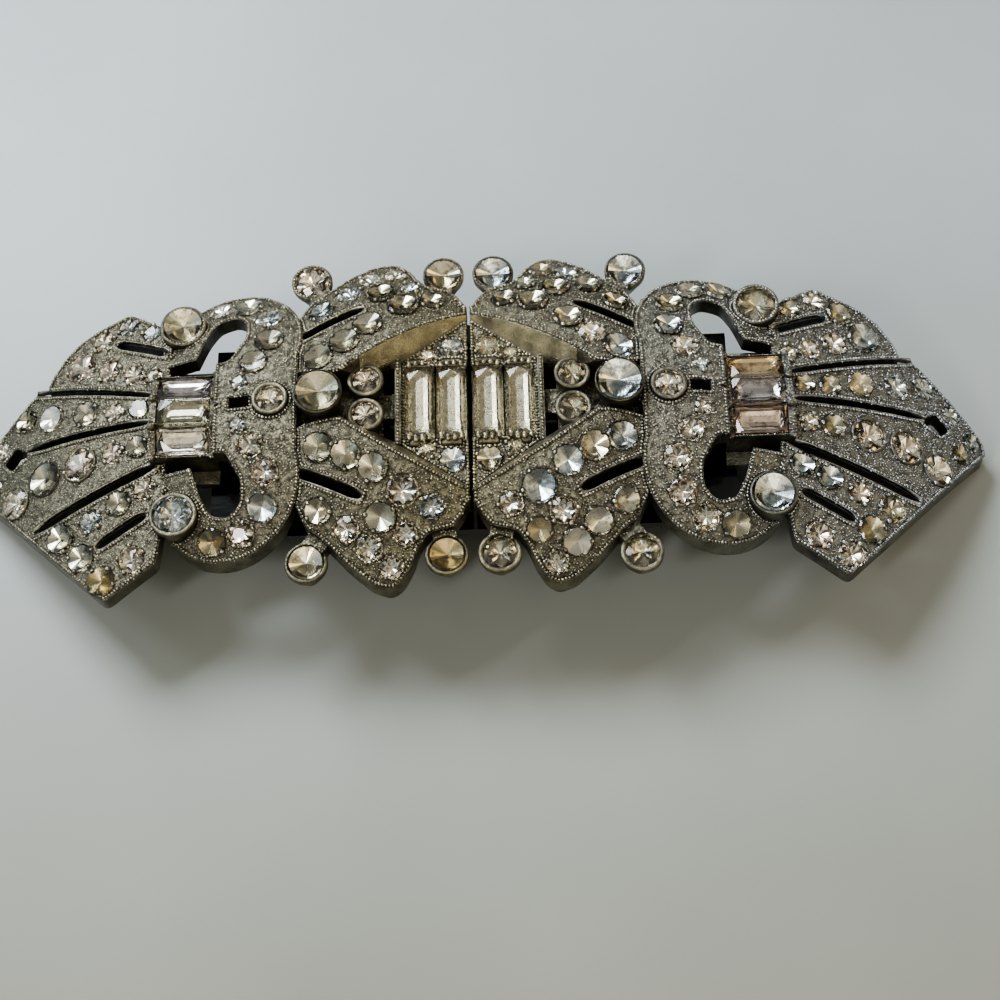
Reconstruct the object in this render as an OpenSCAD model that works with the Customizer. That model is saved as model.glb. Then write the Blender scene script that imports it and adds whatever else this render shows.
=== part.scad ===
// Double dress clip brooch: two mirror-image pierced clips set with foiled stones,
// carried edge to edge on one frame. Millimetres. X runs along the length, Y away
// from the viewer, Z up. The seam between the clips is at x = 0 and the part lies
// on its back at z = 0. Every table below is for the right clip.

/* [Cast sheet] */
// Thickness of the cast sheet
sheet = 1.6; // [1.4:0.1:1.8]
// Gap between the two clips at the seam
seam_gap = 0.3; // [0.2:0.1:0.6]
// Radius of the bend that drops the fan towards its tip
fan_bend_r = 41; // [38:0.5:45]
// Distance from the seam where the bend starts
fan_bend_x = 18.85; // [18:0.05:20]
// Radius of the fan's rounding from one long side to the other
fan_round_r = 97; // [90:1:110]
// Radius of the dome of the two ribbons
ribbon_dome_r = 24; // [23:0.5:26]
// Height of the top of the ribbon dome over the middle of the sheet
ribbon_dome_top = 3.6; // [3.2:0.1:4]
// Radius of the dome of the two scrolls
scroll_dome_r = 22; // [21:0.5:24]
// Height of the top of the scroll dome
scroll_dome_top = 2.6; // [2.2:0.1:2.8]
// Slope of the wall between the ribbons and the middle panel, degrees
wall_slope = 60; // [50:1:65]

/* [Piercing] */
// Width of the slits between the leaves
slit_w = 0.9; // [0.6:0.05:1.1]
// Width of the fine slits beside the second leaf
fine_slit_w = 0.55; // [0.4:0.05:0.7]

/* [Stones] */
// Gap between a stone and its seat
stone_gap = 0.12; // [0.1:0.01:0.15]
// Height of a stone's table over its girdle, as a share of its diameter
crown_share = 0.16; // [0.12:0.01:0.2]
// Depth of a stone below its girdle, as a share of its diameter
pavilion_share = 0.36; // [0.3:0.01:0.4]
// Width of a stone's table, as a share of its diameter
table_share = 0.6; // [0.5:0.02:0.7]

/* [Middle panel] */
// Height of the panel's bed
panel_z = 0.9; // [0.8:0.1:1]
// Length of a panel baguette
panel_stone_l = 6.5; // [6:0.1:6.6]
// Width of a panel baguette
panel_stone_w = 2.45; // [2.2:0.05:2.5]
// Height of the baguettes' tables
panel_table_z = 1.4; // [1.3:0.1:1.6]

/* [Wrist] */
// Length of a wrist baguette
wrist_stone_l = 4.3; // [4:0.1:4.4]
// Width of a wrist baguette
wrist_stone_w = 2.35; // [2.2:0.05:2.4]
// Spacing of the wrist baguettes
wrist_pitch = 2.65; // [2.6:0.05:2.8]
// Angle between neighbouring wrist baguettes, degrees
wrist_turn = 20; // [16:1:24]
// Height of the middle baguette's table
wrist_table_z = 1.4; // [1.2:0.1:1.6]

/* [Frame and backs] */
// Thickness of the frame plate
plate_t = 1; // [0.8:0.1:1.2]
// Depth of the plate's face below the middle of the sheet
plate_depth = 3.2; // [3:0.1:3.4]
// Length of a clip back
back_l = 13; // [11:0.5:14]
// Width of a clip back
back_w = 10; // [8:0.5:12]
// Thickness of a clip back
back_t = 0.9; // [0.8:0.1:1.2]
// Diameter of the pin stem
pin_d = 1; // [0.8:0.1:1.2]

/* [Hidden] */
SIDES = ["right", "left"];

// Metal and stone colours
METAL = [0.6, 0.59, 0.55];
DARK_METAL = [0.2, 0.2, 0.2];
BACK_METAL = [0.5, 0.5, 0.48];
CLEAR = [0.86, 0.88, 0.86];
GOLD_FOIL = [0.8, 0.74, 0.55];

// Columns of the outline tables: x, y, length trimmed for a round corner
FAN_EDGE = [[25.6, 0, 0], [25.4, 8.6, 0], [26.3, 9.4, 0.3], [29.7, 11.5, 0.5], [35, 9.5, 2.6],
    [37, 6, 0.8], [36.9, 5.1, 0], [38.4, 5.2, 0.4], [41.4, 2.2, 1], [44, -0.7, 0.4],
    [44.3, -2, 0.4], [39, -7.2, 1], [35, -11.1, 1], [30.4, -15.3, 0.6], [26, -12.6, 0.4],
    [25.4, -8.6, 0]];
RIBBON_EDGE = [[0, 7.8, 0], [6.2, 3.5, 0.4], [8, 2.7, 0.6], [10, 2.2, 0.6], [11.8, 2.1, 0.5],
    [13.5, 2.4, 0.5], [14.7, 2.6, 0], [15.2, 6, 0.4], [14.5, 8.6, 0.4], [13.5, 10.6, 0.4],
    [12.2, 11.6, 0.5], [10.2, 13.6, 0.5], [8.3, 15, 0.5], [6.8, 15.4, 0.5], [5.8, 14.9, 0.4],
    [4.9, 13.7, 0.5], [4.4, 12.6, 0.4], [3.6, 11.6, 0.4], [1.6, 11.1, 0.3], [0.8, 10.2, 0.3],
    [0.3, 9.2, 0.2], [0, 9.1, 0]];
SCROLL_STALK = [[14.2, -4.5, 0.5], [15, -6.5, 0], [19.5, -4, 0], [20.8, -1.2, 0.5],
    [20.8, 1.2, 0.5], [19.5, 4, 0], [15, 6.5, 0], [14.2, 4.5, 0.5]];
SCROLL_HOLE = [[18.8, 6.6, 0.5], [18.85, 8.5, 0.6], [19.9, 9.5, 0.6], [21.5, 9.1, 0.5],
    [22.3, 7.6, 0.6], [23.3, 4.4, 0.4], [22.3, 4.1, 0.3], [20.1, 4.3, 0.4]];
TIP_HOLE = [[38.2, -0.4, 0.2], [39.7, 0.6, 0.3], [40.8, -0.7, 0.2], [39.9, -1.5, 0.2]];
SCROLL_CENTRE = [20.2, 6.3];
SCROLL_R = 6.25;

// Straight slits. Columns: start x, start y, end x, end y, width
FAN_SLITS = [[25.9, 6.7, 30.6, 8.5, slit_w], [26.8, 2.6, 38, 5.4, fine_slit_w],
    [27.1, 0.1, 38.4, -0.1, fine_slit_w + 0.1], [26.3, -4, 37.1, -8, slit_w],
    [27, -8.3, 31.2, -10.5, slit_w]];
RIBBON_SLIT = [8.9, 8.8, 14.3, 6.2, slit_w];

// Small round stones. Columns: x, y, diameter
FAN_STONES = [[33.8, 6.9, 2.6], [31.1, 5.9, 2], [28.8, 5.05, 1.7], [26.95, 4.5, 1.4],
    [31.9, 9.1, 1.9], [29.7, 10.15, 1.7], [27.5, 9.1, 1.5], [38.9, 3, 1.9], [36.3, 2.4, 2.1],
    [33, 2.05, 2], [30.3, 1.6, 1.6], [28.1, 1.55, 1.4], [41.2, 0.9, 1.5], [28.1, -2.05, 1.65],
    [30.2, -2.25, 1.8], [41.6, -2.7, 1.5], [42.9, -1.2, 1.4], [27.2, -5.95, 1.8],
    [29.45, -6.95, 1.9], [31.9, -8.1, 1.9], [34.6, -9.15, 2.3], [32.6, -11.2, 2.1],
    [28.1, -12, 2.2], [30.7, -13.5, 2.2]];
UPPER_RIBBON_STONES = [[3.1, 9.6, 1.8], [5.5, 9, 2.3], [4.9, 11.4, 1.5], [7.4, 10.7, 2.2],
    [8.4, 6.9, 2.2], [10.3, 5.2, 2.2], [12.5, 3.9, 2.2], [6.3, 13.4, 1.8], [8.4, 12.9, 1.9],
    [10.2, 11.1, 2], [12.5, 9.1, 1.9]];
LOWER_RIBBON_STONES = [[3.2, -9.7, 1.9], [5.5, -8.5, 2.5], [7.9, -6.6, 2.2], [10.1, -5.4, 2.2],
    [12.4, -4.5, 2.2], [7.4, -10.4, 2.2], [5.4, -11.7, 1.8], [8.4, -12.6, 2.1],
    [10.2, -11.1, 2], [12.5, -9.5, 1.9], [6.7, -14, 1.8]];
SCROLL_STONES = [[18, 3.9, 2], [16.8, 6.2, 2.1], [17.1, 8.9, 2.1], [18.9, 10.7, 2.1],
    [21.4, 11, 2.1], [19.1, 2, 1.2]];
PANEL_STONES = [[1.5, 5.25, 1.9], [3.5, 4.4, 1.4], [1.5, -5.35, 1.9], [3.6, -4.4, 1.4]];
BIG_FAN_STONES = [[33.2, -2.75, 2.8], [36.5, -3.3, 2.8], [39.3, -4.75, 2.7]];

// Cups. Columns: x, y, height of the rim, rim diameter, foot diameter, cup height,
// stone diameter, name
CUPS = [[12.35, 0, 3.7, 4, 2.2, 4.2, 3.5, "large_cup_stone"],
    [8.55, 1.6, 2.3, 3, 1.8, 2.9, 2.2, "upper_pair_stone"],
    [8.55, -1.6, 2.3, 3, 1.8, 2.9, 2.2, "lower_pair_stone"],
    [16.4, 0, 2.8, 3, 1.8, 3.4, 2.2, "single_cup_stone"],
    [2.15, 13.2, -0.4, 3.5, 1.5, 3, 2.9, "upper_inner_stone"],
    [2.15, -13.2, -0.4, 3.5, 1.5, 3, 2.7, "lower_inner_stone"],
    [13.6, 13.3, -0.9, 3.5, 1.5, 3, 2.9, "upper_outer_stone"],
    [13.6, -13.3, -0.9, 3.5, 1.5, 3, 2.7, "lower_outer_stone"],
    [24.5, 8.9, -0.1, 3.9, 2.2, 3.8, 3.2, "upper_scroll_stone"],
    [24.5, -8.9, -0.1, 3.9, 2.2, 3.8, 3.2, "lower_scroll_stone"]];

// Stems that carry the four outer cups: start x, start y, end x, end y, width
STEMS = [[2.6, 10, 2.2, 12.4, 1.9], [12, 10.6, 13.4, 12.6, 1.9]];
// Feet under the sheet that meet the frame: x, y
FEET = [[4.6, 8.6], [15.9, 7.6]];
FOOT_D = 1.8;
WRIST_X = 23.9;
WRIST_END = 0.55;
PANEL_X = 6.2;
CLAW_R = 0.35;
POST = [10.4, 3, 3.6];
BIG = 60;
FINE = 72;

// How far the part's middle lies below its top sheet when it rests on its back
tip_run = 44.3 - fan_bend_x;
inner_bend = fan_bend_r - sheet;
rest_z = -sheet - inner_bend + sqrt(pow(inner_bend, 2) - pow(tip_run, 2));

function unit(v) = v / norm(v);
function flat(row) = [row.x, row.y];

// Outline with its corners replaced by short curves
function softened(rows, n = 3) = [for (i = [0:len(rows) - 1])
    let (p = flat(rows[i]), trim = rows[i][2],
        a = flat(rows[(i + len(rows) - 1) % len(rows)]), b = flat(rows[(i + 1) % len(rows)]),
        pa = p + trim * unit(a - p), pb = p + trim * unit(b - p))
    each (trim == 0 ? [p] : [for (k = [0:n])
        let (u = k / n) pow(1 - u, 2) * pa + 2 * u * (1 - u) * p + u * u * pb])];
function flipped(rows) = [for (r = rows) [r.x, -r.y, r[2]]];

// Heights of the three curved sheets at a place in plan
function fan_waist(y) = fan_bend_r - fan_round_r + sqrt(pow(fan_round_r, 2) - y * y);
function fan_z(x, y) = sqrt(pow(fan_waist(y), 2) - pow(x - fan_bend_x, 2)) - fan_bend_r;
function dome_z(x, y, cx, top, r) = top - r + sqrt(r * r - pow(x - cx, 2) - y * y);
function ribbon_z(x, y) = dome_z(x, y, RIBBON_DOME_X, ribbon_dome_top, ribbon_dome_r);
function scroll_z(x, y) = dome_z(x, y, SCROLL_DOME_X, scroll_dome_top, scroll_dome_r);
RIBBON_DOME_X = 6.5;
SCROLL_DOME_X = 15.5;

// Which sheet a stone sits in: 0 fan, 1 ribbon, 2 scroll, 3 panel
function sheet_z(kind, x, y) = kind == 0 ? fan_z(x, y)
    : kind == 1 ? ribbon_z(x, y)
    : kind == 2 ? scroll_z(x, y) : panel_z;

// Moves a shape onto a sheet, upright to its surface
module on_sheet(kind, x, y) {
    step = 0.1;
    nx = (sheet_z(kind, x - step, y) - sheet_z(kind, x + step, y)) / (2 * step);
    ny = (sheet_z(kind, x, y - step) - sheet_z(kind, x, y + step)) / (2 * step);
    tilt = atan(norm([nx, ny]));
    translate([x, y, sheet_z(kind, x, y)])
        rotate(a = tilt, v = tilt == 0 ? [0, 0, 1] : [-ny, nx, 0])
        children();
}

// Round cut stone, girdle at z = 0
module cut_stone(d, facets = 8) {
    rotate_extrude($fn = facets)
        polygon([[0, -pavilion_share * d], [d / 2, -0.04 * d], [d / 2, 0.02 * d],
            [table_share * d / 2, crown_share * d], [0, crown_share * d]]);
}

// Blind seat for a round stone whose girdle lies just under the surface
module seat(d) {
    depth = pavilion_share * d + 0.12;
    translate([0, 0, -depth])
        cylinder(d = d + 2 * stone_gap, h = depth + 1.2, $fn = 24);
}

// Long step-cut stone lying along X, table at z = 0
module baguette(l, w) {
    bevel = 0.42;
    girdle = -0.4;
    keel = -1.2;
    inset = 0.62;
    intersection() {
        rotate([90, 0, 0])
            linear_extrude(height = w, center = true)
            polygon([[-l / 2 + inset, keel], [l / 2 - inset, keel], [l / 2, girdle - 0.1],
                [l / 2, girdle], [l / 2 - bevel, 0], [-l / 2 + bevel, 0], [-l / 2, girdle],
                [-l / 2, girdle - 0.1]]);
        rotate([90, 0, 90])
            linear_extrude(height = l, center = true)
            polygon([[-w / 2 + inset, keel], [w / 2 - inset, keel], [w / 2, girdle - 0.1],
                [w / 2, girdle], [w / 2 - bevel, 0], [-w / 2 + bevel, 0], [-w / 2, girdle],
                [-w / 2, girdle - 0.1]]);
    }
}

// Upright prism over an outline, tall enough to pass every sheet
module prism(rows) {
    translate([0, 0, -BIG / 2])
        linear_extrude(height = BIG)
        polygon(softened(rows));
}

module bar(row, z_low, z_high) {
    run = [row[2] - row[0], row[3] - row[1]];
    translate([row[0], row[1], z_low])
        rotate([0, 0, atan2(run.y, run.x)])
        translate([0, -row[4] / 2, 0])
        cube([norm(run), row[4], z_high - z_low]);
}

// Barrel about Y whose upper side is the fan's face, or its underside when inset
module fan_block(inset) {
    half_w = 20;
    translate([fan_bend_x, 0, -fan_bend_r])
        rotate([90, 0, 0])
        rotate_extrude($fn = FINE)
        intersection() {
            translate([fan_bend_r - fan_round_r, 0])
                circle(r = fan_round_r - inset, $fn = 4 * FINE);
            translate([0, -half_w])
                square([BIG, 2 * half_w]);
        }
}

module fan_sheet() {
    difference() {
        intersection() {
            prism(FAN_EDGE);
            fan_block(0);
        }
        fan_block(sheet);
        for (slit = FAN_SLITS) {
            bar(slit, -BIG / 2, BIG / 2);
        }
        prism(TIP_HOLE);
    }
}

module dome_block(cx, top, r, inset) {
    translate([cx, 0, top - r])
        sphere(r = r - inset, $fn = FINE);
}

module ribbon_sheet(s) {
    rows = s > 0 ? RIBBON_EDGE : flipped(RIBBON_EDGE);
    slit = [RIBBON_SLIT[0], s * RIBBON_SLIT[1], RIBBON_SLIT[2], s * RIBBON_SLIT[3], slit_w];
    difference() {
        intersection() {
            prism(rows);
            dome_block(RIBBON_DOME_X, ribbon_dome_top, ribbon_dome_r, 0);
            wall_half(s, 0);
        }
        intersection() {
            dome_block(RIBBON_DOME_X, ribbon_dome_top, ribbon_dome_r, sheet);
            wall_half(s, sheet);
        }
        bar(slit, -BIG / 2, BIG / 2);
    }
}

// Everything on the ribbon's side of the sloping wall
module wall_half(s, drop) {
    foot = [6.2, 3.6];
    heading = atan2(-4.35, 6.2);
    mirror([0, s > 0 ? 0 : 1, 0])
        translate([foot.x, foot.y, panel_z - drop])
        rotate([0, 0, heading])
        rotate([wall_slope, 0, 0])
        translate([-BIG, -BIG, -2 * BIG])
        cube([2 * BIG, 2 * BIG, 2 * BIG]);
}

module scroll_sheet() {
    difference() {
        intersection() {
            union() {
                for (s = [1, -1]) {
                    translate([SCROLL_CENTRE.x, s * SCROLL_CENTRE.y, -BIG / 2])
                        cylinder(r = SCROLL_R, h = BIG, $fn = FINE);
                }
                prism(SCROLL_STALK);
            }
            dome_block(SCROLL_DOME_X, scroll_dome_top, scroll_dome_r, 0);
        }
        dome_block(SCROLL_DOME_X, scroll_dome_top, scroll_dome_r, sheet);
        prism(SCROLL_HOLE);
        prism(flipped(SCROLL_HOLE));
        translate([18, -0.5, -BIG / 2])
            cube([1.9, 1, BIG]);
        translate([WRIST_X - wrist_stone_l / 2 - WRIST_END, -5.1, -BIG / 2])
            cube([6, 10.2, BIG]);
    }
}

// Bed of the middle panel with its raised rim and a trough for the baguettes
module panel_bed() {
    rim_h = 0.5;
    trough = panel_stone_l + 2 * stone_gap;
    difference() {
        translate([0, 0, panel_z - sheet - 0.5])
            linear_extrude(height = sheet + 0.5)
            polygon([[0, -8.2], [PANEL_X, -4.2], [PANEL_X, 4.2], [0, 8.2]]);
        translate([0, -trough / 2, panel_table_z - 1.3])
            cube([PANEL_X - 0.65, trough, 5]);
    }
    translate([PANEL_X - 0.5, -4, panel_z - 0.1])
        cube([0.5, 8, rim_h + 0.1]);
    for (x = [panel_x(0), panel_x(1)]) {
        for (s = [1, -1]) {
            translate([x - 0.8, s * (panel_stone_l / 2 + stone_gap + CLAW_R), panel_z])
                rotate([0, 90, 0])
                cylinder(r = CLAW_R, h = 1.6, $fn = 20);
        }
    }
}

function panel_x(i) = seam_gap / 2 + 0.15 + panel_stone_w / 2 + i * (panel_stone_w + 0.2);

// Wrist: a convex band of three long stones between the scrolls and the fan
function wrist_face(i) = let (a = i * wrist_turn / 2, h = wrist_pitch / 2)
    [h + wrist_pitch * cos(2 * a), -wrist_pitch * sin(2 * a)];
module wrist_band() {
    length = wrist_stone_l + 2 * stone_gap + 2 * WRIST_END;
    edge = wrist_face(1);
    top = wrist_table_z - 0.3;
    half = [[-wrist_pitch / 2, top], [-edge.x, top + edge.y], [-edge.x - 0.1, top + edge.y - 0.4],
        [-edge.x - 0.35, -2], [-5.3, -2.1], [-5.3, -2.9]];
    profile = concat(half, [for (i = [len(half) - 1:-1:0]) [-half[i].x, half[i].y]]);
    difference() {
        translate([WRIST_X - length / 2, 0, 0])
            rotate([90, 0, 90])
            linear_extrude(height = length)
            polygon(profile);
        for (i = [-1:1]) {
            wrist_place(i)
                translate([0, 0, -1.32])
                linear_extrude(height = 4)
                square([wrist_stone_l + 2 * stone_gap, wrist_pitch + 0.02], center = true);
        }
        translate([WRIST_X - length, -3.1, -4.2])
            cube([2 * length, 6.2, 2.8]);
    }
    for (x = [-1, 1]) {
        for (y = [-1, 1]) {
            translate([WRIST_X + x * (length - WRIST_END) / 2, y * wrist_pitch / 2, top])
                sphere(r = 0.36, $fn = 20);
            translate([WRIST_X + x * (length - WRIST_END) / 2, y * edge.x, top + edge.y])
                sphere(r = 0.36, $fn = 20);
        }
    }
}

// Frame of one wrist stone, table at z = 0; i is -1, 0 or 1 from front to back
module wrist_place(i) {
    reach = wrist_pitch / 2 / tan(wrist_turn / 2);
    translate([WRIST_X, 0, wrist_table_z - reach])
        rotate([-i * wrist_turn, 0, 0])
        translate([0, 0, reach])
        children();
}

module cup(row) {
    lip = 0.5;
    translate([row.x, row.y, row[2] - row[5]])
        cylinder(d1 = row[4], d2 = row[3], h = row[5] - lip, $fn = 40);
    translate([row.x, row.y, row[2] - lip - 0.01])
        cylinder(d = row[3], h = lip + 0.01, $fn = 40);
}

// Blind seat of a cup: straight round the girdle, pointed below it
module cup_seat(row) {
    wide = row[6] + 2 * stone_gap;
    shelf = 0.06 * row[6] + 0.08;
    depth = pavilion_share * row[6] + 0.2;
    translate([row.x, row.y, row[2] - shelf])
        cylinder(d = wide, h = shelf + 1.2, $fn = 40);
    translate([row.x, row.y, row[2] - depth])
        cylinder(d1 = 0.5, d2 = wide, h = depth - shelf + 0.001, $fn = 40);
}

// Bars that carry the cups over the open middle
module middle_bars() {
    for (row = [[PANEL_X - 0.4, 0, 21.6, 0, 2.2], [8.55, -4.8, 8.55, 4.8, 2.6],
            [12.35, -3.4, 12.35, 3.4, 3.1], [16.3, -2.6, 16.3, 2.6, 2.2]]) {
        bar(row, -0.9, 0.5);
    }
    translate([POST.x - POST[1] / 2, -POST[2] / 2, -plate_depth + 0.1])
        cube([POST[1], POST[2], plate_depth + 0.2]);
}

module clip_casting() {
    difference() {
        union() {
            fan_sheet();
            for (s = [1, -1]) {
                ribbon_sheet(s);
                for (stem = STEMS) {
                    z = stem[0] < 5 ? 0 : -0.5;
                    bar([stem[0], s * stem[1], stem[2], s * stem[3], stem[4]], z - 1.7, z);
                }
                for (foot = FEET) {
                    translate([foot.x, s * foot.y, -plate_depth + 0.1])
                        cylinder(d = FOOT_D, h = plate_depth + 0.7, $fn = 24);
                }
            }
            scroll_sheet();
            panel_bed();
            middle_bars();
            for (row = CUPS) {
                cup(row);
            }
            wrist_band();
        }
        for (row = CUPS) {
            cup_seat(row);
        }
        for (row = concat(FAN_STONES, BIG_FAN_STONES)) {
            on_sheet(0, row.x, row.y)
                seat(row[2]);
        }
        for (row = concat(UPPER_RIBBON_STONES, LOWER_RIBBON_STONES)) {
            on_sheet(1, row.x, row.y)
                seat(row[2]);
        }
        for (row = SCROLL_STONES) {
            for (s = [1, -1]) {
                on_sheet(2, row.x, s * row.y)
                    seat(row[2]);
            }
        }
        for (row = PANEL_STONES) {
            on_sheet(3, row.x, row.y)
                seat(row[2]);
        }
        translate([-BIG, -BIG, -BIG])
            cube([BIG + seam_gap / 2, 2 * BIG, 2 * BIG]);
    }
}

// Places a part of the right clip, or its mirror image for the left
module on_clip(side) {
    translate([0, 0, -rest_z])
        mirror([side == "right" ? 0 : 1, 0, 0])
        children();
}

module clip_front(side) {
    color(METAL)
        on_clip(side)
        clip_casting();
}

module stone_field(side, kind, rows) {
    color(CLEAR)
        on_clip(side) {
            for (row = rows) {
                on_sheet(kind, row.x, row.y)
                    cut_stone(row[2]);
            }
        }
}

module panel_baguette(i, side) {
    color(CLEAR)
        on_clip(side)
        translate([panel_x(i), 0, panel_table_z])
        rotate([0, 0, 90])
        baguette(panel_stone_l, panel_stone_w);
}

module wrist_baguette(i, side) {
    color(CLEAR)
        on_clip(side)
        wrist_place(i)
        baguette(wrist_stone_l, wrist_stone_w);
}

module cup_stone(row, side) {
    color(GOLD_FOIL)
        on_clip(side)
        translate([row.x, row.y, row[2]])
        cut_stone(row[6], 12);
}

module big_fan_stone(row, side) {
    color(CLEAR)
        on_clip(side)
        on_sheet(0, row.x, row.y)
        cut_stone(row[2], 12);
}

// Frame plate: a middle field, two lower wings, and a slot for each clip's post
module brooch_frame() {
    middle_h = 19.6;
    wing_h = 16;
    middle_l = 31;
    wing_l = 44;
    slot = 0.3;
    color(DARK_METAL)
        translate([0, 0, -rest_z - plate_depth - plate_t])
        difference() {
            union() {
                linear_extrude(height = plate_t)
                    square([middle_l, middle_h], center = true);
                linear_extrude(height = plate_t)
                    square([wing_l, wing_h], center = true);
            }
            for (s = [1, -1]) {
                translate([s * POST.x, 0, 0])
                    linear_extrude(height = 3 * plate_t, center = true)
                    square([POST[1] + 2 * slot, POST[2] + 2 * slot], center = true);
            }
        }
}

// Clip back: a plain flat flap on a post that passes through the frame's slot
module clip_back(side) {
    color(BACK_METAL)
        on_clip(side)
        union() {
            translate([POST.x - 2.5, -back_w / 2, rest_z])
                cube([back_l, back_w, back_t]);
            translate([POST.x - POST[1] / 2, -POST[2] / 2, rest_z + back_t / 2])
                cube([POST[1], POST[2], -plate_depth - rest_z - back_t / 2]);
        }
}

// Brooch pin: a plain stem on two blocks under the frame
module brooch_pin() {
    pin_y = 7;
    block = [2.2, 2.6, 3];
    reach = 32;
    under = -plate_depth - plate_t - 0.1;
    color(BACK_METAL)
        translate([0, pin_y, -rest_z + under])
        union() {
            for (s = [1, -1]) {
                translate([s * reach / 2 - block.x / 2, -block.y / 2, -block.z])
                    cube(block);
            }
            translate([-reach / 2, 0, -block.z + pin_d])
                rotate([0, 90, 0])
                cylinder(d = pin_d, h = reach, $fn = 24);
        }
}

clip_front("right");  // clip_front_right
clip_front("left");  // clip_front_left
brooch_frame();
clip_back("right");  // clip_back_right
clip_back("left");  // clip_back_left
brooch_pin();
for (side = SIDES) {
    stone_field(side, 0, FAN_STONES);
    stone_field(side, 1, concat(UPPER_RIBBON_STONES, LOWER_RIBBON_STONES));
    stone_field(side, 2, concat(SCROLL_STONES, [for (r = SCROLL_STONES) [r.x, -r.y, r[2]]]));
    stone_field(side, 3, PANEL_STONES);
    for (i = [0:1]) {
        panel_baguette(i, side);
    }
    for (i = [0:2]) {
        wrist_baguette(1 - i, side);
        big_fan_stone(BIG_FAN_STONES[i], side);
    }
    for (row = CUPS) {
        cup_stone(row, side);
    }
}
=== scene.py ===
"""Dressed model of the double dress clip brooch: aged cast clips with milgrain edges and
a grained ground, foiled glass stones, a polished frame painted near-black as shade, and
the studio around them.
Sizes in the tables are millimetres of the right clip; the left clip is its mirror image."""

import math
import random

import bmesh
import bpy
from mathutils import Matrix, Vector


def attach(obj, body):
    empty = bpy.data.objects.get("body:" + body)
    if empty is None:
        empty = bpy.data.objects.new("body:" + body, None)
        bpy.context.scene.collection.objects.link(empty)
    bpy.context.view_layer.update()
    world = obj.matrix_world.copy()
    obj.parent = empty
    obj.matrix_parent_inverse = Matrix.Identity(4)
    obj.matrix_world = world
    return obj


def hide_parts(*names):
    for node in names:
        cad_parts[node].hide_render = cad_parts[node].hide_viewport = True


bl_info = {
    "name": "Double dress clip brooch",
    "version": (1, 0, 0),
    "blender": (4, 5, 0),
    "location": "View3D > Sidebar > Brooch",
    "description": "Dresses the brooch's solids with cast metal, milgrain and foiled stones",
    "category": "Object",
}

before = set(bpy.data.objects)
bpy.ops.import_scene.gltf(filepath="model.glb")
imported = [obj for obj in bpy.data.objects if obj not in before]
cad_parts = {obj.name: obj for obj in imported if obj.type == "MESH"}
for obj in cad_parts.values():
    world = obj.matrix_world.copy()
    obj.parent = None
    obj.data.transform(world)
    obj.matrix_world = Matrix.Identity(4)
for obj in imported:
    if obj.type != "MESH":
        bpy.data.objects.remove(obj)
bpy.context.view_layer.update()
MM = 0.001
FULL_TURN = 2 * math.pi
SIDES = {"right": 1, "left": -1}

# Shapes shared with the solids, in millimetres and degrees
FAN_BEND_R, FAN_BEND_X, FAN_ROUND_R = 41, 18.85, 97
RIBBON_DOME = (6.5, 3.6, 24)
SCROLL_DOME = (15.5, 2.6, 22)
SHEET = 1.6
PANEL_Z, PANEL_X, PANEL_TABLE_Z = 0.9, 6.2, 1.4
PANEL_STONE = (6.5, 2.45)
WRIST_X, WRIST_TABLE_Z, WRIST_TURN, WRIST_PITCH = 23.9, 1.4, 20, 2.65
WRIST_STONE = (4.3, 2.35)
STONE_GAP = 0.12
TIP_RUN = 44.3 - FAN_BEND_X
BAR_TOPS = (0.5, 0, -0.5)
LIFT = FAN_BEND_R - math.sqrt((FAN_BEND_R - SHEET) ** 2 - TIP_RUN ** 2)
# Along the middle panel: half the seam and its wall, then the bar between two long stones
PANEL_START, PANEL_BAR = 0.3, 0.2

# Finer sizes of the dressed model alone
STONE_PLAY = 0.1          # how much wider a stone is cut than its solid, on each side
CONE_SLOPE = 16           # slope of a cone stone's foiled back
EDGE_INSET = 0.2          # milgrain's middle line from the metal's edge
GRAIN_ZONES = (("clip", 0, 25.4), ("fan", 25.4, 50))   # pieces of ground, from x to x
FIVE_CLAWS_FROM = 1.7     # stones wider than this have five claws, the others four
LIP_STEPS, LIP_WIDTH, LIP_BOW = 20, 0.13, 0.04
# Section of a slit's lip: share of the way outwards, height over the sheet
LIP_SECTION = ((0, -0.5), (0, 0.02), (0.4, 0.09), (0.8, 0.07), (1, -0.06))
# Rings of a brilliant: (share of the radius, height as a share of the diameter)
CUT = {"table": (0.5, 0.18), "kite": (0.78, 0.11), "upper": (1, 0.02), "lower": (1, -0.03),
       "high": (0.8, -0.12), "low": (0.8, -0.17)}
BRILLIANT_TIP = -0.27
# Rings of a long stone from the table down: inset, height, reach of the pointed ends
STEP_CUT = ((0.42, 0, 1.0), (0.24, -0.13, 0.5), (0.0, -0.4, 0), (0.0, -0.5, 0),
            (0.25, -0.74, 0), (0.6, -0.9, 0), (0.95, -0.96, 0))

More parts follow.
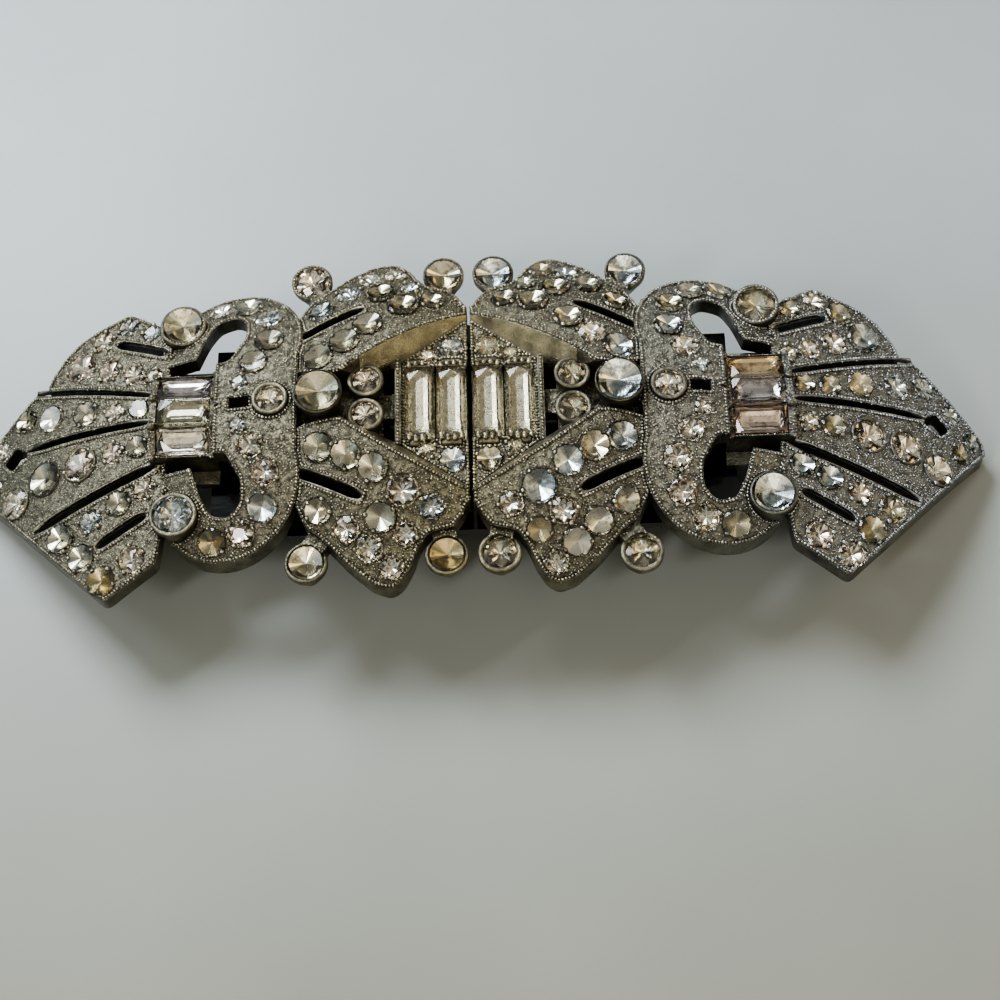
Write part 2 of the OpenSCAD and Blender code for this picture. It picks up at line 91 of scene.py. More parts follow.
# Stone looks: first letter the cut (b brilliant, c smooth cone under a flat top), second
# the foil (s silver, w bright white, g straw gold, r rose, a amber, d dull and smoky)
# Columns: x, y, diameter, look on the right clip, look on the left clip
FAN_STONES = [
    (33.8, 6.9, 2.6, "cs", "br"), (31.1, 5.9, 2, "bw", "br"), (28.8, 5.05, 1.7, "br", "bw"),
    (26.95, 4.5, 1.4, "bg", "bw"), (31.9, 9.1, 1.9, "cg", "br"), (29.7, 10.15, 1.7, "bw", "bs"),
    (27.5, 9.1, 1.5, "cg", "bs"), (38.9, 3, 1.9, "bs", "cg"), (36.3, 2.4, 2.1, "bs", "cg"),
    (33, 2.05, 2, "cg", "cg"), (30.3, 1.6, 1.6, "cg", "bw"), (28.1, 1.55, 1.4, "cg", "cg"),
    (41.2, 0.9, 1.5, "bs", "bw"), (28.1, -2.05, 1.65, "bw", "cd"), (30.2, -2.25, 1.8, "cd", "br"),
    (41.6, -2.7, 1.5, "cg", "br"), (42.9, -1.2, 1.4, "cs", "bw"), (27.2, -5.95, 1.8, "cs", "bw"),
    (29.45, -6.95, 1.9, "cs", "cd"), (31.9, -8.1, 1.9, "br", "bs"), (34.6, -9.15, 2.3, "bg", "cg"),
    (32.6, -11.2, 2.1, "cg", "cd"), (28.1, -12, 2.2, "br", "br"), (30.7, -13.5, 2.2, "br", "ca")]
BIG_FAN_STONES = [(33.2, -2.75, 2.8, "br", "br"), (36.5, -3.3, 2.8, "br", "cd"),
                  (39.3, -4.75, 2.7, "bw", "bw")]
RIBBON_STONES = [
    (3.1, 9.6, 1.8, "cg", "cg"), (5.5, 9, 2.3, "cg", "cg"), (4.9, 11.4, 1.5, "cg", "bs"),
    (7.4, 10.7, 2.2, "cg", "cg"), (8.4, 6.9, 2.2, "cg", "cg"), (10.3, 5.2, 2.2, "bw", "cd"),
    (12.5, 3.9, 2.2, "cs", "cd"), (6.3, 13.4, 1.8, "ca", "bg"), (8.4, 12.9, 1.9, "bs", "bw"),
    (10.2, 11.1, 2, "cg", "bs"), (12.5, 9.1, 1.9, "cg", "cs"), (3.2, -9.7, 1.9, "bw", "bs"),
    (5.5, -8.5, 2.5, "cs", "bw"), (7.9, -6.6, 2.2, "cs", "cg"), (10.1, -5.4, 2.2, "cg", "cg"),
    (12.4, -4.5, 2.2, "cs", "cd"), (7.4, -10.4, 2.2, "bw", "cd"), (5.4, -11.7, 1.8, "ca", "bw"),
    (8.4, -12.6, 2.1, "cd", "bw"), (10.2, -11.1, 2, "cg", "br"), (12.5, -9.5, 1.9, "cg", "cg"),
    (6.7, -14, 1.8, "bw", "bw")]
SCROLL_STONES = [
    (18, 3.9, 2, "bw", "cd"), (16.8, 6.2, 2.1, "cs", "cd"), (17.1, 8.9, 2.1, "cg", "bs"),
    (18.9, 10.7, 2.1, "cg", "cg"), (21.4, 11, 2.1, "cg", "bw"), (19.1, 2, 1.2, "bs", "bs"),
    (18, -3.9, 2, "bw", "bw"), (16.8, -6.2, 2.1, "bw", "br"), (17.1, -8.9, 2.1, "br", "cs"),
    (18.9, -10.7, 2.1, "bw", "br"), (21.4, -11, 2.1, "cd", "ca"), (19.1, -2, 1.2, "bw", "bs")]
PANEL_STONES = [(1.5, 5.25, 1.9, "bg", "bs"), (3.5, 4.4, 1.4, "bg", "br"),
                (1.5, -5.35, 1.9, "cg", "cs"), (3.6, -4.4, 1.4, "bg", "bg")]
FIELDS = {"fan": (FAN_STONES, "fan"), "ribbon": (RIBBON_STONES, "ribbon"),
          "scroll": (SCROLL_STONES, "scroll"), "panel": (PANEL_STONES, "panel")}

# Cups: x, y, rim height, rim diameter, stone diameter, node, looks right and left, beaded rim
CUPS = [
    (12.35, 0, 3.7, 4, 3.5, "large_cup_stone", "cs", "cd", False),
    (8.55, 1.6, 2.3, 3, 2.2, "upper_pair_stone", "bg", "br", False),
    (8.55, -1.6, 2.3, 3, 2.2, "lower_pair_stone", "bg", "bw", False),
    (16.4, 0, 2.8, 3, 2.2, "single_cup_stone", "bw", "bw", False),
    (2.15, 13.2, -0.4, 3.5, 2.9, "upper_inner_stone", "cs", "cg", True),
    (2.15, -13.2, -0.4, 3.5, 2.7, "lower_inner_stone", "bg", "ca", False),
    (13.6, 13.3, -0.9, 3.5, 2.9, "upper_outer_stone", "cs", "br", True),
    (13.6, -13.3, -0.9, 3.5, 2.7, "lower_outer_stone", "bg", "cg", False),
    (24.5, 8.9, -0.1, 3.9, 3.2, "upper_scroll_stone", "bd", "cg", True),
    (24.5, -8.9, -0.1, 3.9, 3.2, "lower_scroll_stone", "cs", "bs", False)]

# Slits, each with a smooth lip: sheet, start x, y, end x, y, width
SLITS = [
    ("fan", 25.9, 6.7, 30.6, 8.5, 0.9), ("fan", 26.8, 2.6, 38, 5.4, 0.55),
    ("fan", 27.1, 0.1, 38.4, -0.1, 0.65), ("fan", 26.3, -4, 37.1, -8, 0.9),
    ("fan", 27, -8.3, 31.2, -10.5, 0.9), ("ribbon", 8.9, 8.8, 14.3, 6.2, 0.9),
    ("ribbon", 8.9, -8.8, 14.3, -6.2, 0.9)]

# Middle lines of the slits and holes: start x, y, end x, y, reach to the walls
OPENING_LINES = [(*row[1:5], row[5] / 2 + 0.15) for row in SLITS] + [
    (38.9, -0.6, 40.1, -0.5, 1.3), (20, 8.2, 22.6, 4.6, 1.9), (20, -8.2, 22.6, -4.6, 1.9),
    (19.4, 5, 19.8, 8.8, 1.1), (19.4, -5, 19.8, -8.8, 1.1)]

# Foils of the long stones, upper to lower on the wrist and inner to outer on the panel
# (p satin straw, o orange gold, v lavender silver, m rosewood)
WRIST_FOILS = {"right": "ovm", "left": "vdw"}
PANEL_FOILS = {"right": "pp", "left": "pp"}


# Sizes and colours
class BroochSizes(bpy.types.PropertyGroup):
    """Sizes of the repeated metal details."""
    milgrain_radius: bpy.props.FloatProperty(
        name="Milgrain bead", description="Radius of a bead on the edges",
        default=0.14 * MM, min=0.08 * MM, max=0.3 * MM, precision=5, subtype="DISTANCE")
    milgrain_spacing: bpy.props.FloatProperty(
        name="Milgrain spacing", description="Distance between neighbouring beads",
        default=0.29 * MM, min=0.2 * MM, max=0.8 * MM, precision=5, subtype="DISTANCE")
    grain_radius: bpy.props.FloatProperty(
        name="Ground grain", description="Radius of a grain of the ground between the stones",
        default=0.1 * MM, min=0.06 * MM, max=0.3 * MM, precision=5, subtype="DISTANCE")
    grain_spacing: bpy.props.FloatProperty(
        name="Grain spacing", description="Least distance between grains of the ground",
        default=0.18 * MM, min=0.15 * MM, max=0.9 * MM, precision=5, subtype="DISTANCE")
    claw_radius: bpy.props.FloatProperty(
        name="Claw", description="Radius of a raised grain that holds a stone",
        default=0.2 * MM, min=0.1 * MM, max=0.4 * MM, precision=5, subtype="DISTANCE")
    seed: bpy.props.IntProperty(
        name="Seed", description="Seed of the grains and of the stones' turns", default=7)


class BroochColours(bpy.types.PropertyGroup):
    """Colours of the metals and foils, as sRGB hex."""
    metal: bpy.props.StringProperty(
        name="Cast metal", description="Clean cast metal", default="#797973")
    # The grime colour is also painted shade in the recesses, through the occlusion mask
    grime_and_shade: bpy.props.StringProperty(
        name="Grime", description="Old dirt in the recesses", default="#3D3B33")
    plate: bpy.props.StringProperty(
        # The frame plate's near-black colour is painted shade
        name="Frame plate", description="Dark polished frame", default="#3A3B3D")
    glass: bpy.props.StringProperty(
        name="Glass", description="Clear glass of the stones", default="#F6F7F2")


# Heights of the sheets
def fan_z(x, y):
    """Upper side of the fan, bent along x and rounded along y."""
    waist = FAN_BEND_R - FAN_ROUND_R + math.sqrt(FAN_ROUND_R ** 2 - y * y)
    return math.sqrt(max(waist ** 2 - (x - FAN_BEND_X) ** 2, 0)) - FAN_BEND_R


def dome_z(dome, x, y):
    """Upper side of a domed sheet."""
    centre, top, r = dome
    return top - r + math.sqrt(max(r * r - (x - centre) ** 2 - y * y, 0))


SHEETS = {"fan": fan_z, "ribbon": lambda x, y: dome_z(RIBBON_DOME, x, y),
          "scroll": lambda x, y: dome_z(SCROLL_DOME, x, y), "panel": lambda x, y: PANEL_Z}


def on_sheet(kind, x, y, spin=0):
    """Matrix in millimetres that stands a shape upright on a sheet."""
    z, step = SHEETS[kind], 0.1
    normal = Vector(((z(x - step, y) - z(x + step, y)) / (2 * step),
                     (z(x, y - step) - z(x, y + step)) / (2 * step), 1)).normalized()
    turn = Vector((0, 0, 1)).rotation_difference(normal).to_matrix().to_4x4()
    return Matrix.Translation((x, y, z(x, y))) @ turn @ Matrix.Rotation(spin, 4, "Z")


# Mesh helpers
def new_shape():
    """Empty lists of points, faces and material slots."""
    return {"points": [], "faces": [], "slots": []}


def to_frame(point, side):
    """A point of the right clip's millimetres in the frame's metres, on either side."""
    return point[0] * side * MM, point[1] * MM, (point[2] + LIFT) * MM


def put(shape, matrix, side, points, faces, slots=None):
    """Adds points and faces in local millimetres, with their material slots, to a shape."""
    first = len(shape["points"])
    shape["points"] += [to_frame(matrix @ Vector(p), side) for p in points]
    rings = [[first + i for i in face] for face in faces]
    shape["faces"] += rings if side > 0 else [ring[::-1] for ring in rings]
    shape["slots"] += slots or [0] * len(faces)


def around(count, offset=0):
    """Angles of points evenly round a circle."""
    return [FULL_TURN * (k + offset) / count for k in range(count)]


def ring(radius, z, count, offset=0):
    """Points evenly round Z at one height."""
    return [(radius * math.cos(a), radius * math.sin(a), z) for a in around(count, offset)]


def section(middle, half, height, flat, count):
    """Rounded section of a lip: (radius, height) pairs."""
    return [(middle + half * math.cos(a), height + flat * half * math.sin(a))
            for a in around(count)]


def lathe(shape, matrix, side, profile, turns):
    """Turns a closed profile of (radius, height) pairs round Z."""
    n = len(profile)
    points = [(r * math.cos(a), r * math.sin(a), z) for a in around(turns) for r, z in profile]
    faces = [(k * n + i, (k + 1) % turns * n + i, (k + 1) % turns * n + (i + 1) % n,
              k * n + (i + 1) % n) for k in range(turns) for i in range(n)]
    put(shape, matrix, side, points, faces)


def make_mesh(name, shape, materials, smooth=False):
    """Mesh of a shape, with its materials in slot order."""
    mesh = bpy.data.meshes.new(name)
    mesh.from_pydata(shape["points"], [], shape["faces"])
    for material in materials:
        mesh.materials.append(material)
    mesh.polygons.foreach_set("material_index", shape["slots"])
    mesh.polygons.foreach_set("use_smooth", [smooth] * len(mesh.polygons))
    mesh.update()
    return mesh


def show(name, mesh, replaced=()):
    """Links a finished mesh as a piece that rides on the brooch."""
    old = bpy.data.objects.get(name)
    if old:
        bpy.data.objects.remove(old)
    piece = bpy.data.objects.new(name, mesh)
    bpy.context.scene.collection.objects.link(piece)
    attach(piece, "root")
    if replaced:
        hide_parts(*replaced)


def require(condition, message):
    """Stops the script where a step made nothing."""
    if not condition:
        raise RuntimeError(message)


# Materials
RAMP, RANGE, MATH, MIX, NOISE, BUMP = (
    "ShaderNodeValToRGB", "ShaderNodeMapRange", "ShaderNodeMath", "ShaderNodeMix",
    "ShaderNodeTexNoise", "ShaderNodeBump")
BLEND = {"data_type": "RGBA"}
TIMES = {"data_type": "RGBA", "blend_type": "MULTIPLY"}
PLUS = {"data_type": "RGBA", "blend_type": "ADD"}


def linear(code):
    """Linear colour of an sRGB hex code."""
    parts = [int(code[i:i + 2], 16) / 255 for i in (1, 3, 5)]
    return (*(c / 12.92 if c <= 0.04045 else ((c + 0.055) / 1.055) ** 2.4 for c in parts), 1)


def add(tree, kind, sockets=None, stops=(), **settings):
    """Adds a node with its settings; a socket takes a value or another node's output, and
    stops are a colour ramp's (position, colour) pairs."""
    made = tree.nodes.new(kind)
    for name, value in settings.items():
        setattr(made, name, value)
    for name, value in (sockets or {}).items():
        if isinstance(value, bpy.types.NodeSocket):
            tree.links.new(value, made.inputs[name])
        else:
            made.inputs[name].default_value = value
    if stops:
        points = made.color_ramp.elements
        points[0].position, points[0].color = stops[0]
        points[1].position, points[1].color = stops[-1]
        for position, colour in stops[1:-1]:
            points.new(position).color = colour
    return made


def wire(tree, shader, sources):
    """Links the surface shader's sockets to their sources."""
    for socket, source in sources.items():
        tree.links.new(source, shader.inputs[socket])


def start_material(name):
    """A new material's tree, its surface shader and its object coordinates."""
    old = bpy.data.materials.get(name)
    if old:
        bpy.data.materials.remove(old)
    material = bpy.data.materials.new(name)
    material.use_nodes = True
    tree = material.node_tree
    tree.nodes.clear()
    shader = add(tree, "ShaderNodeBsdfPrincipled")
    add(tree, "ShaderNodeOutputMaterial", {"Surface": shader.outputs["BSDF"]})
    place = add(tree, "ShaderNodeTexCoord").outputs["Object"]
    return material, tree, shader, place


def grey(value):
    return (value, value, value, 1)


def shade(code, factor):
    """A hex colour made darker or lighter, linear."""
    return (*(min(1, factor * c) for c in linear(code)[:3]), 1)


def cast_metal(name, clean, grime_and_shade, rough, pit_depth, occlusion_reach, dirt_and_shade=0.0, patch=2.2):
    """Tin-lead casting under worn rhodium plate, decades old: the eye sees a soft grey
    silver with gritty pits, bright where cloth rubs it, olive brown where dirt stays.
    An occlusion mask also paints shade into recesses, slits and gaps between grains."""
    material, tree, shader, place = start_material(name)
    patches = add(tree, NOISE, {"Vector": place, "Scale": 1 / (patch * MM), "Detail": 4,
                                "Roughness": 0.6}).outputs["Fac"]
    grit = add(tree, "ShaderNodeTexVoronoi", {
        "Vector": place, "Scale": 1 / (0.22 * MM), "Randomness": 1},
        feature="F1").outputs["Distance"]
    fine = add(tree, NOISE, {"Vector": place, "Scale": 1 / (0.12 * MM), "Detail": 3,
                             "Roughness": 0.7}).outputs["Fac"]
    # Real grime and painted shade: ambient occlusion darkens recesses, slits and gaps between
    # grains toward the grime colour
    open_air = add(tree, "ShaderNodeAmbientOcclusion", {"Distance": occlusion_reach * MM},
                   samples=6).outputs["AO"]
    # Hands clean the two tips; the middle keeps its dirt
    along = add(tree, "ShaderNodeSeparateXYZ", {0: place}).outputs["X"]
    from_middle = add(tree, MATH, {0: along}, operation="ABSOLUTE").outputs[0]
    handled = add(tree, RANGE, {
        "Value": from_middle, "From Min": 12 * MM, "From Max": 36 * MM,
        "To Min": -0.14 - dirt_and_shade, "To Max": 0.16 - dirt_and_shade}).outputs["Result"]
    cloudy = add(tree, MATH, {0: patches, 1: 0.5}, operation="SUBTRACT").outputs[0]
    wiped = add(tree, MATH, {0: cloudy, 1: handled}, operation="ADD").outputs[0]
    worn = add(tree, MATH, {0: open_air, 1: wiped}, operation="ADD").outputs[0]
    grime_and_shade_mask = add(tree, RAMP, {0: worn}, [(0.36, grey(1)), (0.62, grey(0.55)),
                                        (0.95, grey(0))]).outputs[0]
    tint = add(tree, RAMP, {0: patches}, [
        (0.34, shade(clean, 0.45)), (0.5, linear(clean)), (0.64, shade(clean, 1.5))]).outputs[0]
    # The left end is a little tarnished, the middle yellowed, the right end a cold grey
    share = add(tree, RANGE, {
        "Value": along, "From Min": -40 * MM, "From Max": 40 * MM}).outputs["Result"]
    tone = add(tree, RAMP, {0: share}, [
        (0.0, linear("#D6D0BB")), (0.3, linear("#F1E9D0")), (0.5, linear("#FFF4D2")),
        (0.7, linear("#FCF8EA")), (1.0, linear("#EFF5FF"))]).outputs[0]
    toned = add(tree, MIX, {0: 1.0, 6: tint, 7: tone}, **TIMES).outputs[2]
    colour = add(tree, MIX, {0: grime_and_shade_mask, 6: toned, 7: linear(grime_and_shade)}, **BLEND).outputs[2]
    spots = add(tree, RANGE, {
        "Value": fine, "From Min": 0.3, "From Max": 0.7,
        "To Min": rough - 0.1, "To Max": rough + 0.14}).outputs["Result"]
    matt = add(tree, MIX, {0: grime_and_shade_mask, 2: spots, 3: 0.62}, data_type="FLOAT").outputs[0]
    metal = add(tree, RANGE, {"Value": grime_and_shade_mask, "To Min": 1, "To Max": 0.6}).outputs["Result"]
    relief = add(tree, MATH, {0: grit, 1: fine}, operation="ADD").outputs[0]
    soft_edge = add(tree, "ShaderNodeBevel", {"Radius": 0.09 * MM}, samples=4).outputs["Normal"]
    bump = add(tree, BUMP, {"Height": relief, "Strength": 0.7, "Distance": pit_depth * MM,
                            "Normal": soft_edge}).outputs["Normal"]
    wire(tree, shader, {"Base Color": colour, "Roughness": matt, "Metallic": metal,
                        "Normal": bump})
    return material


def plain_metal(name, colour, rough, scratch):
    """Rolled and polished plate: a mirror with hairline scratches, made dark by its given colour,
    which for the frame is painted shade.
    """
    material, tree, shader, place = start_material(name)
    long_lines = add(tree, "ShaderNodeMapping", {
        "Vector": place, "Scale": (1, 12, 12)}).outputs["Vector"]
    lines = add(tree, NOISE, {"Vector": long_lines, "Scale": 1 / (1.6 * MM), "Detail": 5,
                              "Roughness": 0.7}).outputs["Fac"]
    clouds = add(tree, NOISE, {
        "Vector": place, "Scale": 1 / (6 * MM), "Detail": 3}).outputs["Fac"]
    tint = add(tree, RAMP, {0: clouds}, [
        (0.35, linear(colour)), (0.7, linear("#55534C"))]).outputs[0]
    worn = add(tree, RANGE, {
        "Value": lines, "From Min": 0.35, "From Max": 0.75,
        "To Min": rough, "To Max": rough + scratch}).outputs["Result"]
    bump = add(tree, BUMP, {"Height": lines, "Strength": 0.25,
                            "Distance": 0.008 * MM}).outputs["Normal"]
    shader.inputs["Metallic"].default_value = 1
    wire(tree, shader, {"Base Color": tint, "Roughness": worn, "Normal": bump})
    return material


def stone_glass(name, tint):
    """Cut lead glass, rubbed by wear: clear, wet gloss with faint films of old dust."""
    material, tree, shader, place = start_material(name)
    film = add(tree, NOISE, {"Vector": place, "Scale": 1 / (0.9 * MM), "Detail": 4,
                             "Roughness": 0.65}).outputs["Fac"]
    dusty = add(tree, RANGE, {
        "Value": film, "From Min": 0.5, "From Max": 0.75,
        "To Min": 0.0, "To Max": 0.12}).outputs["Result"]
    colour = add(tree, RAMP, {0: film}, [
        (0.4, linear(tint)), (0.75, linear("#E6E2D2"))]).outputs[0]
    shader.inputs["Transmission Weight"].default_value = 1
    shader.inputs["IOR"].default_value = 1.56
    wire(tree, shader, {"Base Color": colour, "Roughness": dusty})
    return material


def old_foil(name, bright, dark, rough, spot_share):
    """Painted mirror foil behind glass: bright where whole, dull and stained where its
    lacquer has aged."""
    material, tree, shader, place = start_material(name)
    stain = add(tree, NOISE, {"Vector": place, "Scale": 1 / (0.7 * MM), "Detail": 5,
                              "Roughness": 0.7}).outputs["Fac"]
    crazing = add(tree, "ShaderNodeTexVoronoi", {
        "Vector": place, "Scale": 1 / (0.3 * MM)}, feature="DISTANCE_TO_EDGE").outputs["Distance"]
    tint = add(tree, RAMP, {0: stain}, [
        (0.5 - spot_share, linear(dark)), (0.62 - spot_share, linear(bright)),
        (1, linear(bright))]).outputs[0]
    matt = add(tree, RANGE, {
        "Value": stain, "From Min": 0.35, "From Max": 0.65,
        "To Min": rough + 0.12, "To Max": rough}).outputs["Result"]
    bump = add(tree, BUMP, {"Height": crazing, "Strength": 0.12,
                            "Distance": 0.006 * MM}).outputs["Normal"]
    shader.inputs["Metallic"].default_value = 1
    wire(tree, shader, {"Base Color": tint, "Roughness": matt, "Normal": bump})
    return material


# Foils by letter: whole colour, stained colour, roughness, share of stains
FOILS = {"s": ("#E3E9EC", "#8F979B", 0.04, 0.1), "w": ("#F6F3EC", "#CFC6B6", 0.03, 0.08),
         "g": ("#DCD7C6", "#9A947C", 0.06, 0.12), "r": ("#F8F3EB", "#C6B9AC", 0.03, 0.07),
         "a": ("#B3A580", "#5F5338", 0.12, 0.2), "d": ("#C2BFAE", "#6E6B5A", 0.1, 0.2),
         "p": ("#B7B19D", "#756E5B", 0.2, 0.28), "o": ("#E6CDA2", "#A8875A", 0.06, 0.12),
         "v": ("#D9D5D9", "#958F96", 0.05, 0.1), "m": ("#DACBC2", "#9E8A83", 0.06, 0.12)}


def make_materials(colours):
    """All finishes of the brooch by a short name."""
    # Metals: material, clean colour, colour of grime and painted shade, roughness, depth of pits,
    # reach of the occlusion that paints shade and grime, extra darkening, size of the patches;
    # lengths are in millimetres
    metals = {
        "cast": ("aged_cast_metal", colours.metal, colours.grime_and_shade, 0.32, 0.05, 0.9),
        "bead": ("rubbed_bead_metal", "#A6A8A7", colours.grime_and_shade, 0.15, 0.02, 0.3, -0.05, 0.4),
        "ground": ("sunk_ground_metal", "#7B7C78", "#302E29", 0.3, 0.07, 0.8, 0.0, 0.5),
        "lip": ("rolled_lip_metal", "#8F9193", colours.grime_and_shade, 0.24, 0.02, 0.5, 0.0, 0.8),
        "slope": ("burnished_panel_slope", "#C6C4BE", "#A9A69C", 0.3, 0.04, 0.4, -0.2),
        # Painted shade: slit and hole walls, the fan's thin edge and undersides take a near-black
        # colour
        "wall": ("shade_darkened_slit_wall", "#6B6A64", "#16140F", 0.36, 0.03, 1.6, 0.1),
        "back": ("satin_back_metal", "#9C9B94", colours.grime_and_shade, 0.42, 0.02, 1.2)}
    made = {key: cast_metal(*values) for key, values in metals.items()}
    # Painted shade: the frame plate's near-black colour stands in for the shade it lies in under
    # the clips
    made["plate"] = plain_metal("polished_plate_painted_shade", colours.plate, 0.06, 0.12)
    made["glass"] = stone_glass("worn_stone_glass", colours.glass)
    for key, (bright, dark, rough, spot_share) in FOILS.items():
        made[key] = old_foil(f"stone_foil_{key}", bright, dark, rough, spot_share)
    return made


FINISH = {}
STONE_SLOTS = ["glass", *FOILS]


# Node trees for what repeats
def start_tree(name, inputs):
    """A new geometry tree with its named inputs; returns it and its input sockets."""
    old = bpy.data.node_groups.get(name)
    if old:
        bpy.data.node_groups.remove(old)
    tree = bpy.data.node_groups.new(name, "GeometryNodeTree")
    tree.interface.new_socket(name="Geometry", in_out="INPUT", socket_type="NodeSocketGeometry")
    for label, kind in inputs:
        tree.interface.new_socket(name=label, in_out="INPUT", socket_type=kind)
    tree.interface.new_socket(name="Geometry", in_out="OUTPUT", socket_type="NodeSocketGeometry")
    return tree, add(tree, "NodeGroupInput").outputs


BEAD_INPUTS = [("Bead radius", "NodeSocketFloat"), ("Spacing", "NodeSocketFloat"),
               ("Size spread", "NodeSocketFloat"), ("Flatness", "NodeSocketFloat"),
               ("Seed", "NodeSocketInt"), ("Metal", "NodeSocketMaterial")]


def bead_tree(name, source):
    """Beads of slightly uneven size on a row of edges ("row"), on a surface ("ground") or
    on every point ("points")."""
    tree, given = start_tree(name, BEAD_INPUTS)
    turn = None
    if source == "row":
        line = add(tree, "GeometryNodeMeshToCurve", {"Mesh": given["Geometry"]})
        points = add(tree, "GeometryNodeResampleCurve", {
            "Curve": line.outputs["Curve"], "Length": given["Spacing"]}, mode="LENGTH").outputs[0]
    elif source == "ground":
        spread = add(tree, "GeometryNodeDistributePointsOnFaces", {
            "Mesh": given["Geometry"], "Distance Min": given["Spacing"], "Density Max": 3e7,
            "Seed": given["Seed"]}, distribute_method="POISSON")
        points, turn = spread.outputs["Points"], spread.outputs["Rotation"]
    else:
        points = add(tree, "GeometryNodeMeshToPoints", {"Mesh": given["Geometry"]}).outputs[0]
    small = add(tree, MATH, {0: 1.0, 1: given["Size spread"]}, operation="SUBTRACT")
    large = add(tree, MATH, {0: 1.0, 1: given["Size spread"]}, operation="ADD")
    size = add(tree, "FunctionNodeRandomValue", {
        2: small.outputs[0], 3: large.outputs[0], 8: given["Seed"]}, data_type="FLOAT").outputs[1]
    height = add(tree, MATH, {0: size, 1: given["Flatness"]}, operation="MULTIPLY")
    scale = add(tree, "ShaderNodeCombineXYZ", {"X": size, "Y": size, "Z": height.outputs[0]})
    bead = add(tree, "GeometryNodeMeshIcoSphere", {
        "Radius": given["Bead radius"], "Subdivisions": 2 if source != "ground" else 1})
    rounded = add(tree, "GeometryNodeSetShadeSmooth", {"Geometry": bead.outputs["Mesh"]})
    copies = add(tree, "GeometryNodeInstanceOnPoints", {
        "Points": points, "Instance": rounded.outputs[0], "Scale": scale.outputs[0]})
    if turn is not None:
        tree.links.new(turn, copies.inputs["Rotation"])
    real = add(tree, "GeometryNodeRealizeInstances", {"Geometry": copies.outputs[0]})
    dressed = add(tree, "GeometryNodeSetMaterial", {
        "Geometry": real.outputs[0], "Material": given["Metal"]})
    add(tree, "NodeGroupOutput", {"Geometry": dressed.outputs[0]})
    return tree


def grow(tree, mesh, **values):
    """Runs a tree on a mesh and returns the plain mesh that it makes."""
    carrier = bpy.data.objects.new("carrier", mesh)
    bpy.context.scene.collection.objects.link(carrier)
    modifier = carrier.modifiers.new("beads", "NODES")
    modifier.node_group = tree
    known = {item.name: item.identifier for item in tree.interface.items_tree
             if item.in_out == "INPUT"}
    for label, value in values.items():
        modifier[known[label.replace("_", " ")]] = value
    bpy.context.view_layer.update()
    evaluated = carrier.evaluated_get(bpy.context.evaluated_depsgraph_get())
    result = bpy.data.meshes.new_from_object(evaluated)
    carrier.modifiers.remove(modifier)
    bpy.data.objects.remove(carrier)
    require(len(result.polygons), f"{tree.name} made nothing")
    return result


# Castings
def casting_copy(side):
    """The clip's solid as a joined mesh, in a bmesh."""
    work = bmesh.new()
    work.from_mesh(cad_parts[f"clip_front_{side}"].data)
    bmesh.ops.remove_doubles(work, verts=work.verts, dist=0.002 * MM)
    bmesh.ops.dissolve_degenerate(work, edges=work.edges, dist=0.001 * MM)
    work.normal_update()
    return work


def plan(co, side):
    """A frame point in the right clip's millimetres."""
    return co.x * SIDES[side] / MM, co.y / MM, co.z / MM - LIFT


def face_sheet(face, side):
    """Name of the sheet whose upper side a face belongs to, or None."""
    if face.normal.z < 0.55:
        return None
    corners = [plan(v.co, side) for v in face.verts]
    for kind, height in SHEETS.items():
        if kind == "panel" and max(c[0] for c in corners) > PANEL_X:
            continue
        if all(abs(z - height(x, y)) < 0.04 for x, y, z in corners):
            return kind
    return None


def in_an_opening(face, side):
    """True for a wall inside a slit or a hole, the fan's thin edge, or an underside."""
    if face.normal.z < -0.3:
        return True
    if face.normal.z > 0.4:
        return False
    x, y, z = plan(face.calc_center_median(), side)
    if x > 26.2:
        return True
    for x0, y0, x1, y1, reach in OPENING_LINES:
        run = (x1 - x0) ** 2 + (y1 - y0) ** 2
        t = min(1, max(0, ((x - x0) * (x1 - x0) + (y - y0) * (y1 - y0)) / run))
        if math.hypot(x - x0 - t * (x1 - x0), y - y0 - t * (y1 - y0)) < reach:
            return True
    return False


def all_round_stones():
    """Place and diameter of every round stone that lies in a sheet."""
    return [(row[0], row[1], row[2]) for rows in
            (FAN_STONES, BIG_FAN_STONES, RIBBON_STONES, SCROLL_STONES, PANEL_STONES)
            for row in rows]


def by_a_stone(point, stones):
    """True where a stone's seat cuts the edge, so no milgrain runs there."""
    return any(math.hypot(point[0] - x, point[1] - y) < d / 2 + STONE_GAP + 0.14
               for x, y, d in stones)


def top_patch(work, side):
    """Faces of the upper sides of the sheets."""
    return {face for face in work.faces if face_sheet(face, side)}


def on_panel_wall(face, side):
    """True for the smooth slopes between the ribbons and the middle panel."""
    x, y, z = plan(face.calc_center_median(), side)
    inward = -face.normal.y if y > 0 else face.normal.y
    return (0 < x < 9 and 2.5 < abs(y) < 9 and inward > 0.3 and 0.35 < face.normal.z < 0.7
            and z > PANEL_Z - 0.1)


def flat_tops(work, side):
    """Tops of the rims round the wrist's long stones, of the bars and of the stems."""
    def on_top(face):
        x, y, z = plan(face.calc_center_median(), side)
        on_rim = face.normal.z > 0.55 and abs(x - WRIST_X) < 3 and abs(y) < 4.1 and z > -0.6
        on_bar = face.normal.z > 0.95 and min(abs(z - top) for top in BAR_TOPS) < 0.02
        return on_rim or on_bar
    return {face for face in work.faces if on_top(face)}


